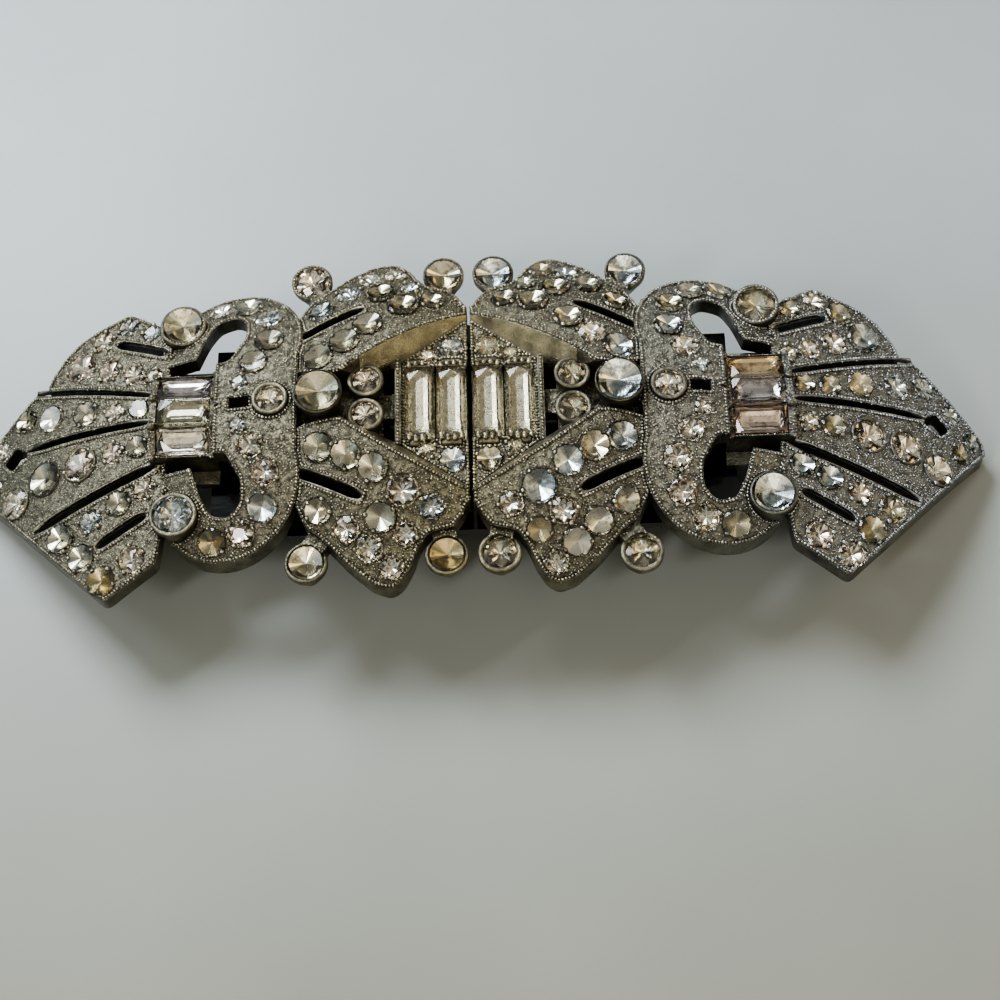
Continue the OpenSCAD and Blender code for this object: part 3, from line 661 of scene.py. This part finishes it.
def edge_lines(work, patch, side, inset):
    """Lines just inside the outer and slit edges of the upper sides, in metres."""
    stones = all_round_stones()
    inward, pairs = {}, []
    for edge in work.edges:
        own = [f for f in edge.link_faces if f in patch]
        if len(own) != 1:
            continue
        a, b = edge.verts
        if by_a_stone(plan(a.co, side), stones) and by_a_stone(plan(b.co, side), stones):
            continue
        along = b.co - a.co
        if along.length < 1e-7:
            continue
        across = own[0].normal.cross(along).normalized()
        if across.dot(own[0].calc_center_median() - a.co) < 0:
            across.negate()
        for v in (a, b):
            inward.setdefault(v, []).append((across, own[0].normal))
        pairs.append((a, b))
    index, points = {}, []
    for v, seen in inward.items():
        across = sum((s[0] for s in seen), Vector()).normalized()
        normal = sum((s[1] for s in seen), Vector()).normalized()
        index[v] = len(points)
        points.append(v.co + across * inset * MM + normal * 0.03 * MM)
    mesh = bpy.data.meshes.new("edge_lines")
    mesh.from_pydata(points, [(index[a], index[b]) for a, b in pairs], [])
    return mesh


def circle_lines(circles):
    """Mesh of closed rings; each is (matrix, radius, side)."""
    points, edges = [], []
    turns = 32
    for matrix, radius, side in circles:
        first = len(points)
        points += [to_frame(matrix @ Vector(p), side) for p in ring(radius, 0, turns)]
        edges += [(first + k, first + (k + 1) % turns) for k in range(turns)]
    mesh = bpy.data.meshes.new("rings")
    mesh.from_pydata(points, edges, [])
    return mesh


def join_meshes(name, meshes):
    """Joins meshes into the first of them."""
    joined = bmesh.new()
    for mesh in meshes:
        joined.from_mesh(mesh)
    result = meshes[0]
    joined.to_mesh(result)
    joined.free()
    result.name = name
    return result


class BROOCH_OT_castings(bpy.types.Operator):
    """Dresses the two cast clips with their aged metal"""
    bl_idname = "brooch.castings"
    bl_label = "Cast clips"

    def execute(self, context):
        for side in SIDES:
            work = casting_copy(side)
            mesh = bpy.data.meshes.new(f"cast_clip_{side}")
            walls = []
            grained = top_patch(work, side) | flat_tops(work, side)
            for face in work.faces:
                face.smooth = True
                # Slot 1 is painted shade: near-black on slit and hole walls, the fan's thin edge
                # and undersides
                walls.append(2 if face in grained else 3 if on_panel_wall(face, side)
                             else int(in_an_opening(face, side)))
            for edge in work.edges:
                edge.smooth = len(edge.link_faces) == 2 and edge.calc_face_angle(0) < 0.6
            work.to_mesh(mesh)
            work.free()
            mesh.materials.clear()
            for finish in ("cast", "wall", "ground", "slope"):
                mesh.materials.append(FINISH[finish])
            mesh.polygons.foreach_set("material_index", walls)
            show(f"cast_clip_{side}", mesh, [f"clip_front_{side}"])
        return {"FINISHED"}


class BROOCH_OT_milgrain(bpy.types.Operator):
    """Runs beads along the edges of leaves, ribbons, scrolls, panel and cups"""
    bl_idname = "brooch.milgrain"
    bl_label = "Milgrain edges"

    def execute(self, context):
        sizes = context.scene.brooch_sizes
        tree = bead_tree("milgrain_row", "row")
        for side, sign in SIDES.items():
            work = casting_copy(side)
            lines = edge_lines(work, top_patch(work, side), side, EDGE_INSET)
            work.free()
            rims = [(Matrix.Translation((x, y, z + 0.06)), rim / 2 - 0.18, sign)
                    for x, y, z, rim, *_, beaded in CUPS if beaded]
            border = bpy.data.meshes.new("border")
            border.from_pydata([to_frame((PANEL_X - 0.24, y, PANEL_TABLE_Z + 0.02), sign)
                                for y in (-3.9, 3.9)], [(0, 1)], [])
            paths = join_meshes("paths", [lines, circle_lines(rims), border])
            mesh = grow(tree, paths, Bead_radius=sizes.milgrain_radius,
                        Spacing=sizes.milgrain_spacing, Size_spread=0.18, Flatness=1.0,
                        Seed=sizes.seed, Metal=FINISH["bead"])
            show(f"milgrain_{side}", mesh)
        return {"FINISHED"}


def claw_points(sign, seed):
    """Places of the claws round the sheets' stones and of the prongs at the panel's."""
    chance = random.Random(seed)
    points = []
    for rows, kind in (*FIELDS.values(), (BIG_FAN_STONES, "fan")):
        for x, y, d, *_ in rows:
            start = chance.random() * math.pi
            count = 5 if d > FIVE_CLAWS_FROM else 4
            reach = d / 2 + 0.1
            for k in range(count):
                angle = start + k * FULL_TURN / count
                points.append(to_frame(on_sheet(kind, x, y) @ Vector(
                    (reach * math.cos(angle), reach * math.sin(angle), 0.1)), sign))
    for k in range(2):
        x = PANEL_START + PANEL_STONE[1] / 2 + k * (PANEL_STONE[1] + PANEL_BAR)
        for end in (1, -1):
            for across in (-0.84, -0.28, 0.28, 0.84):
                y = end * (PANEL_STONE[0] / 2 + (0 if abs(across) > 0.5 else 0.14))
                for rise, shift in ((0.06, 0), (-0.02, 0.22)):
                    points.append(to_frame(
                        (x + across, y + end * shift, PANEL_TABLE_Z + rise), sign))
    return points


class BROOCH_OT_ground(bpy.types.Operator):
    """Strews the grained ground between the stones and sets the raised claws"""
    bl_idname = "brooch.ground"
    bl_label = "Grained ground and claws"

    def execute(self, context):
        sizes = context.scene.brooch_sizes
        ground = bead_tree("ground_grains", "ground")
        claws = bead_tree("claw_grains", "points")
        for side, sign in SIDES.items():
            for zone, low, high in GRAIN_ZONES:
                work = casting_copy(side)
                patch = top_patch(work, side) | flat_tops(work, side)
                outside = [f for f in work.faces if f not in patch
                           or not low <= plan(f.calc_center_median(), side)[0] < high]
                bmesh.ops.delete(work, geom=outside, context="FACES")
                surface = bpy.data.meshes.new("surface")
                work.to_mesh(surface)
                work.free()
                mesh = grow(ground, surface, Bead_radius=sizes.grain_radius,
                            Spacing=sizes.grain_spacing, Size_spread=0.5, Flatness=0.65,
                            Seed=sizes.seed, Metal=FINISH["bead"])
                show(f"ground_grain_{zone}_{side}", mesh)
            spots = bpy.data.meshes.new("spots")
            spots.from_pydata(claw_points(sign, sizes.seed), [], [])
            mesh = grow(claws, spots, Bead_radius=sizes.claw_radius, Size_spread=0.2,
                        Flatness=0.8, Seed=sizes.seed, Metal=FINISH["bead"])
            show(f"stone_claws_{side}", mesh)
        return {"FINISHED"}


class BROOCH_OT_rims(bpy.types.Operator):
    """Rounds the lips of the cups and the collars of the large fan stones"""
    bl_idname = "brooch.rims"
    bl_label = "Cup lips and collars"

    def execute(self, context):
        for side, sign in SIDES.items():
            shape = new_shape()
            for x, y, z, rim, stone, *_ in CUPS:
                inner, outer = stone / 2 + 0.02, rim / 2 + 0.03
                profile = section((inner + outer) / 2, (outer - inner) / 2, 0.02, 0.6, 10)
                lathe(shape, Matrix.Translation((x, y, z)), sign, profile, 40)
            for x, y, d, *_ in BIG_FAN_STONES:
                lathe(shape, on_sheet("fan", x, y), sign,
                      section(d / 2 + 0.13, 0.12, 0.05, 1, 8), 36)
            mesh = make_mesh(f"cup_lips_{side}", shape, [FINISH["cast"]], smooth=True)
            work = bmesh.new()
            work.from_mesh(mesh)
            bmesh.ops.recalc_face_normals(work, faces=work.faces)
            work.to_mesh(mesh)
            work.free()
            show(f"cup_lips_{side}", mesh)
        return {"FINISHED"}


def slit_lip(shape, side, row, hand):
    """One long edge of a slit, rolled over; the lips close the slit to points at its ends."""
    kind, x0, y0, x1, y1, width = row
    length = math.hypot(x1 - x0, y1 - y0)
    along = Vector(((x1 - x0) / length, (y1 - y0) / length))
    across = Vector((-along.y, along.x))
    points, n = [], len(LIP_SECTION)
    for k in range(LIP_STEPS + 1):
        t = k / LIP_STEPS
        swell = math.sin(math.pi * t)
        opened = min(1, 1.5 * math.sqrt(max(swell, 0)))
        inner = LIP_BOW * swell + hand * (width / 2 - LIP_BOW) * opened
        outer = hand * (width / 2 + LIP_WIDTH)
        run = length * t + (2 * t - 1) * LIP_WIDTH
        for share, rise in LIP_SECTION:
            reach = inner + share * (outer - inner)
            x = x0 + along.x * run + across.x * reach
            y = y0 + along.y * run + across.y * reach
            points.append((x, y, SHEETS[kind](x, y) + rise))
    faces = [(n * k + i, n * k + i + 1, n * k + i + n + 1, n * k + i + n)
             for k in range(LIP_STEPS) for i in range(n - 1)]
    put(shape, Matrix.Identity(4), side, points,
        [face[::-1] for face in faces] if hand > 0 else faces)


class BROOCH_OT_slit_lips(bpy.types.Operator):
    """Rolls smooth lips over the slits' edges, which close them to a lens at both ends"""
    bl_idname = "brooch.slit_lips"
    bl_label = "Slit lips"

    def execute(self, context):
        for side, sign in SIDES.items():
            shape = new_shape()
            for row in SLITS:
                for hand in (1, -1):
                    slit_lip(shape, sign, row, hand)
            mesh = make_mesh(f"slit_lips_{side}", shape, [FINISH["lip"]], smooth=True)
            show(f"slit_lips_{side}", mesh)
        return {"FINISHED"}


# Stones
def put_stone(shape, matrix, side, points, glass, foiled, foil):
    """Adds a stone: clear faces above, faces with foil behind them below."""
    put(shape, matrix, side, points, glass + foiled,
        [0] * len(glass) + [STONE_SLOTS.index(foil)] * len(foiled))


def brilliant(shape, matrix, side, d, foil):
    """Round stone with a table, eight kites, stars and girdle facets over a foiled,
    faceted pavilion."""
    r = d / 2 + STONE_PLAY
    table, kites, upper, lower, high, low = (
        ring(CUT[key][0] * r, CUT[key][1] * d, 16 if key in ("upper", "lower") else 8,
             0.5 if key in ("table", "low") else 0) for key in CUT)
    shoulder = [p for pair in zip(high, low) for p in pair]
    points = table + kites + upper + lower + shoulder + [(0, 0, BRILLIANT_TIP * d)]
    # First point of each ring: table, kites, upper and lower girdle, shoulder, tip
    t, m, u, w, h, tip = 0, 8, 16, 32, 48, 64
    glass, foiled = [tuple(range(8))], []
    for k in range(8):
        back, ahead = (k - 1) % 8, (k + 1) % 8
        near, far, before = 2 * k, (2 * k + 1) % 16, (2 * k - 1) % 16
        glass += [(t + back, m + k, t + k), (t + k, m + k, u + far, m + ahead),
                  (m + k, u + before, u + near), (m + k, u + near, u + far)]
    for k in range(16):
        ahead = (k + 1) % 16
        glass.append((u + k, w + k, w + ahead, u + ahead))
        foiled += [(w + k, h + k, h + ahead, w + ahead), (h + k, tip, h + ahead)]
    put_stone(shape, matrix, side, points, glass, foiled, foil)


def flat_cone(shape, matrix, side, d, foil):
    """Round stone with a wide flat top over a smooth, shallow foiled cone."""
    r, n, lift = d / 2 + 2 * STONE_PLAY, 24, 0.07
    points = (ring(0.88 * r, 0.1 * d + lift, n) + ring(r, 0.03 * d + lift, n)
              + ring(r, lift - 0.01 * d, n)
              + [(0, 0, lift - 0.01 * d - r * math.tan(math.radians(CONE_SLOPE)))])
    glass, foiled = [tuple(range(n))], []
    for k in range(n):
        ahead = (k + 1) % n
        for level in (0, n):
            glass.append((level + k, level + n + k, level + n + ahead, level + ahead))
        foiled.append((2 * n + k, 3 * n, 2 * n + ahead))
    put_stone(shape, matrix, side, points, glass, foiled, foil)


def long_stone(shape, matrix, side, length, width, foil):
    """Step-cut long stone: a table with pointed ends over a foiled, stepped pavilion."""
    points = []
    for inset, z, point in STEP_CUT:
        a, b = length / 2 - inset + 0.08, width / 2 - inset + 0.04
        points += [(-a, 0, z), (-a + point, -b, z), (a - point, -b, z),
                   (a, 0, z), (a - point, b, z), (-a + point, b, z)]
    glass, foiled = [tuple(range(6))], []
    for level in range(len(STEP_CUT) - 1):
        for k in range(6):
            a, b = level * 6 + k, level * 6 + (k + 1) % 6
            (glass if level < 3 else foiled).append((a, a + 6, b + 6, b))
    foiled.append(tuple(range(len(points) - 1, len(points) - 7, -1)))
    put_stone(shape, matrix, side, points, glass, foiled, foil)


def stone_piece(name, shape, nodes):
    """Shows a stone, or a field of stones, in place of its solids."""
    mesh = make_mesh(name, shape, [FINISH[key] for key in STONE_SLOTS])
    show(name, mesh, nodes)


class BROOCH_OT_round_stones(bpy.types.Operator):
    """Sets the round stones of the fans, ribbons, scrolls, panels and cups"""
    bl_idname = "brooch.round_stones"
    bl_label = "Round stones"

    def execute(self, context):
        chance = random.Random(context.scene.brooch_sizes.seed)

        def set_round(shape, matrix, sign, d, look):
            """Adds a stone of a look, a little askew as hand-set stones are."""
            tilt = Matrix.Rotation(math.radians(chance.uniform(-3, 3)), 4, "X")
            lean = Matrix.Rotation(math.radians(chance.uniform(-3, 3)), 4, "Y")
            spin = Matrix.Rotation(chance.uniform(0, math.pi), 4, "Z")
            cut = brilliant if look[0] == "b" else flat_cone
            cut(shape, matrix @ tilt @ lean @ spin, sign, d, look[1])

        for column, (side, sign) in enumerate(SIDES.items()):
            for name, (rows, kind) in FIELDS.items():
                shape = new_shape()
                for x, y, d, *looks in rows:
                    set_round(shape, on_sheet(kind, x, y), sign, d, looks[column])
                stone_piece(f"{name}_glass_{side}", shape, [f"{name}_stones_{side}"])
            for k, (x, y, d, *looks) in enumerate(BIG_FAN_STONES):
                shape = new_shape()
                set_round(shape, on_sheet("fan", x, y), sign, d, looks[column])
                stone_piece(f"big_fan_glass_{k + 1}_{side}", shape,
                            [f"big_fan_stone_{k + 1}_{side}"])
            for x, y, z, _, d, node, *looks in CUPS:
                shape = new_shape()
                set_round(shape, Matrix.Translation((x, y, z)), sign, d, looks[column])
                stone_piece(node.replace("stone", "glass") + f"_{side}", shape,
                            [f"{node}_{side}"])
        return {"FINISHED"}


class BROOCH_OT_long_stones(bpy.types.Operator):
    """Sets the step-cut stones of the middle panel and the wrists"""
    bl_idname = "brooch.long_stones"
    bl_label = "Long stones"

    def execute(self, context):
        reach = WRIST_PITCH / 2 / math.tan(math.radians(WRIST_TURN / 2))
        for side, sign in SIDES.items():
            for k, foil in enumerate(PANEL_FOILS[side]):
                x = PANEL_START + PANEL_STONE[1] / 2 + k * (PANEL_STONE[1] + PANEL_BAR)
                shape = new_shape()
                place = (Matrix.Translation((x, 0, PANEL_TABLE_Z))
                         @ Matrix.Rotation(math.pi / 2, 4, "Z"))
                long_stone(shape, place, sign, *PANEL_STONE, foil)
                stone_piece(f"panel_long_glass_{k + 1}_{side}", shape,
                            [f"panel_baguette_{k + 1}_{side}"])
            for k, foil in enumerate(WRIST_FOILS[side]):
                turn = math.radians((k - 1) * WRIST_TURN)
                shape = new_shape()
                place = (Matrix.Translation((WRIST_X, 0, WRIST_TABLE_Z - reach))
                         @ Matrix.Rotation(turn, 4, "X") @ Matrix.Translation((0, 0, reach)))
                long_stone(shape, place, sign, *WRIST_STONE, foil)
                stone_piece(f"wrist_long_glass_{k + 1}_{side}", shape,
                            [f"wrist_baguette_{k + 1}_{side}"])
        return {"FINISHED"}


class BROOCH_OT_frame_and_backs(bpy.types.Operator):
    """Gives the frame plate, the clip backs and the pin their metals"""
    bl_idname = "brooch.frame_and_backs"
    bl_label = "Frame and backs"

    def execute(self, context):
        finishes = {"brooch_frame": "plate", "clip_back_right": "back",
                    "clip_back_left": "back", "brooch_pin": "back"}
        for name, finish in finishes.items():
            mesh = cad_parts[name].data
            mesh.materials.clear()
            mesh.materials.append(FINISH[finish])
        return {"FINISHED"}


# Stage
FLOOR_HALF = 1.2
CAMERA_EYE, CAMERA_TARGET = (5.41, -72.69, 145.56), (2.26, -8.72, 10.92)
CAMERA_ROLL, CAMERA_LENS = -4.66, 66

# Lamps: name, place in metres, width, height, watts, colour
LAMPS = [("high_window", (-0.14, 0.21, 0.27), 0.17, 0.15, 1.35, "#EEF5FF"),
         ("left_window", (-0.42, 0.2, 0.26), 0.12, 0.2, 0.45, "#E6EDF6"),
         ("warm_side", (0.42, 0.2, 0.25), 0.16, 0.2, 0.22, "#FFE0AC"),
         ("room_behind", (0.12, -0.36, 0.62), 0.5, 0.3, 0.5, "#FFF6E4"),
         ("glint", (-0.3, -0.3, 0.45), 0.06, 0.14, 0.6, "#FFFFFF")]


def pale_floor():
    """Honed pale stone, plain: a faint cloudiness and a dull sheen, painted darker and warmer
    toward the front, where the key light falls off.
    """
    material, tree, shader, place = start_material("pale_honed_floor")
    clouds = add(tree, NOISE, {
        "Vector": place, "Scale": 1 / (45 * MM), "Detail": 4}).outputs["Fac"]
    tint = add(tree, RAMP, {0: clouds}, [
        (0.35, linear("#BFC4C3")), (0.65, linear("#CBD0CF"))]).outputs[0]
    # Painted light: the floor darkens and warms toward the front, standing in for the key light's
    # falloff
    depth = add(tree, "ShaderNodeSeparateXYZ", {0: place}).outputs["Y"]
    share = add(tree, RANGE, {
        "Value": depth, "From Min": -50 * MM, "From Max": 25 * MM}).outputs["Result"]
    tone = add(tree, RAMP, {0: share}, [
        (0.0, linear("#E3DFCF")), (1.0, linear("#FBFEFF"))]).outputs[0]
    colour = add(tree, MIX, {0: 1.0, 6: tint, 7: tone}, **TIMES).outputs[2]
    wire(tree, shader, {"Base Color": colour})
    shader.inputs["Roughness"].default_value = 0.45
    return material


def set_floor(scene):
    """A wide floor that the brooch lies on."""
    half = FLOOR_HALF
    mesh = bpy.data.meshes.new("floor")
    mesh.from_pydata([(-half, -half, 0), (half, -half, 0), (half, half, 0), (-half, half, 0)],
                     [], [(0, 1, 2, 3)])
    mesh.materials.append(pale_floor())
    floor = bpy.data.objects.new("floor", mesh)
    scene.collection.objects.link(floor)


def set_camera(scene):
    """Camera at the photograph's angle, rolled a little to the right."""
    eye, target = Vector(CAMERA_EYE) * MM, Vector(CAMERA_TARGET) * MM
    roll = math.radians(CAMERA_ROLL)
    back = (eye - target).normalized()
    level = Vector((0, 0, 1)).cross(back).normalized()
    above = back.cross(level)
    right = level * math.cos(roll) + above * math.sin(roll)
    up = -level * math.sin(roll) + above * math.cos(roll)
    lens = bpy.data.cameras.new("camera")
    lens.sensor_width, lens.sensor_fit, lens.lens = 36, "HORIZONTAL", CAMERA_LENS
    lens.clip_start = 0.005
    camera = bpy.data.objects.new("camera", lens)
    camera.matrix_world = Matrix((
        (right.x, up.x, back.x, eye.x), (right.y, up.y, back.y, eye.y),
        (right.z, up.z, back.z, eye.z), (0, 0, 0, 1)))
    scene.collection.objects.link(camera)
    scene.camera = camera


def set_lamps(scene):
    """Soft rectangular lamps, each turned to the brooch."""
    for name, place, wide, high, power, colour in LAMPS:
        light = bpy.data.lights.new(name, "AREA")
        light.shape, light.size, light.size_y = "RECTANGLE", wide, high
        light.energy, light.color = power, linear(colour)[:3]
        lamp = bpy.data.objects.new(name, light)
        lamp.location = place
        lamp.rotation_euler = Vector(place).to_track_quat("Z", "Y").to_euler()
        scene.collection.objects.link(lamp)


def set_room(scene):
    """The room's glow, which metal and stones mirror and matt things hardly see."""
    world = bpy.data.worlds.new("room")
    scene.world = world
    world.use_nodes = True
    tree = world.node_tree
    tree.nodes.clear()
    direction = add(tree, "ShaderNodeSeparateXYZ", {
        0: add(tree, "ShaderNodeTexCoord").outputs["Generated"]}).outputs
    height = direction["Z"]
    room = add(tree, RAMP, {0: height}, [
        (0.0, (0.05, 0.05, 0.04, 1)), (0.3, (0.07, 0.07, 0.06, 1)),
        (0.6, (0.2, 0.195, 0.17, 1)), (0.8, (0.4, 0.39, 0.34, 1)),
        (1.0, (0.3, 0.31, 0.3, 1))]).outputs[0]
    # The pale wall behind the viewer, which the stones' near facets mirror
    toward = add(tree, RANGE, {
        "Value": direction["Y"], "From Min": 0.1, "From Max": -0.35}).outputs["Result"]
    band = add(tree, RAMP, {0: height}, [
        (0.55, grey(0)), (0.7, grey(1)), (0.93, grey(1)), (1.0, grey(0.4))]).outputs[0]
    wall = add(tree, MIX, {0: toward, 6: grey(0), 7: band}, **BLEND).outputs[2]
    cream = add(tree, MIX, {0: 1.0, 6: wall, 7: linear("#FFF1DA")}, **TIMES).outputs[2]
    # Daylight from the left and lamplight from the right, low enough for the cones
    across = add(tree, RANGE, {
        "Value": direction["X"], "From Min": -1, "From Max": 1}).outputs["Result"]
    sides = add(tree, RAMP, {0: across}, [
        (0.1, (0.55, 0.66, 0.76, 1)), (0.3, grey(0)), (0.7, grey(0)),
        (0.9, (0.72, 0.59, 0.38, 1))]).outputs[0]
    low = add(tree, RAMP, {0: height}, [
        (0.12, grey(0)), (0.3, grey(1)), (0.6, grey(1)), (0.75, grey(0))]).outputs[0]
    flanks = add(tree, MIX, {0: 1.0, 6: sides, 7: low}, **TIMES).outputs[2]
    beyond = add(tree, RANGE, {"Value": direction["Y"], "From Min": 0.3, "From Max": 0.8,
                               "To Max": 0.45}).outputs["Result"]
    far_wall = add(tree, MIX, {0: beyond, 6: flanks, 7: low}, **BLEND).outputs[2]
    near = add(tree, MIX, {0: 1.0, 6: cream, 7: far_wall}, **PLUS).outputs[2]
    both = add(tree, MIX, {0: 1.0, 6: room, 7: near}, **PLUS).outputs[2]
    # Matt things get only the room's dim glow, so the shadow stays deep
    matt = add(tree, "ShaderNodeLightPath").outputs["Is Diffuse Ray"]
    dim = add(tree, MIX, {0: 1.0, 6: room, 7: (0.36, 0.35, 0.3, 1)}, **TIMES).outputs[2]
    seen = add(tree, MIX, {0: matt, 6: both, 7: dim}, **BLEND).outputs[2]
    glow = add(tree, "ShaderNodeBackground", {"Color": seen, "Strength": 0.9})
    add(tree, "ShaderNodeOutputWorld", {"Surface": glow.outputs["Background"]})


class BROOCH_OT_stage(bpy.types.Operator):
    """Sets the floor, the camera, the lamps and the room's glow"""
    bl_idname = "brooch.stage"
    bl_label = "Stage"

    def execute(self, context):
        scene = context.scene
        scene.view_settings.look = "AgX - Medium High Contrast"
        for step in (set_floor, set_camera, set_lamps, set_room):
            step(scene)
        return {"FINISHED"}


class BROOCH_PT_panel(bpy.types.Panel):
    """Brooch sizes, colours and steps"""
    bl_label = "Brooch"
    bl_idname = "BROOCH_PT_panel"
    bl_space_type = "VIEW_3D"
    bl_region_type = "UI"
    bl_category = "Brooch"

    def draw(self, context):
        for group in (context.scene.brooch_sizes, context.scene.brooch_colours):
            for name in group.__annotations__:
                self.layout.prop(group, name)
        for step in STEPS:
            self.layout.operator(step.bl_idname)


STEPS = (BROOCH_OT_castings, BROOCH_OT_milgrain, BROOCH_OT_ground, BROOCH_OT_rims,
         BROOCH_OT_slit_lips, BROOCH_OT_round_stones, BROOCH_OT_long_stones,
         BROOCH_OT_frame_and_backs, BROOCH_OT_stage)
CLASSES = (BroochSizes, BroochColours, *STEPS, BROOCH_PT_panel)


def register():
    for kind in CLASSES:
        bpy.utils.register_class(kind)
    bpy.types.Scene.brooch_sizes = bpy.props.PointerProperty(type=BroochSizes)
    bpy.types.Scene.brooch_colours = bpy.props.PointerProperty(type=BroochColours)


def unregister():
    del bpy.types.Scene.brooch_sizes
    del bpy.types.Scene.brooch_colours
    for kind in reversed(CLASSES):
        bpy.utils.unregister_class(kind)


def main():
    """Registers the add-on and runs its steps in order."""
    register()
    FINISH.update(make_materials(bpy.context.scene.brooch_colours))
    bpy.ops.brooch.castings()
    bpy.ops.brooch.milgrain()
    bpy.ops.brooch.ground()
    bpy.ops.brooch.rims()
    bpy.ops.brooch.slit_lips()
    bpy.ops.brooch.round_stones()
    bpy.ops.brooch.long_stones()
    bpy.ops.brooch.frame_and_backs()
    bpy.ops.brooch.stage()


if __name__ == "__main__":
    main()
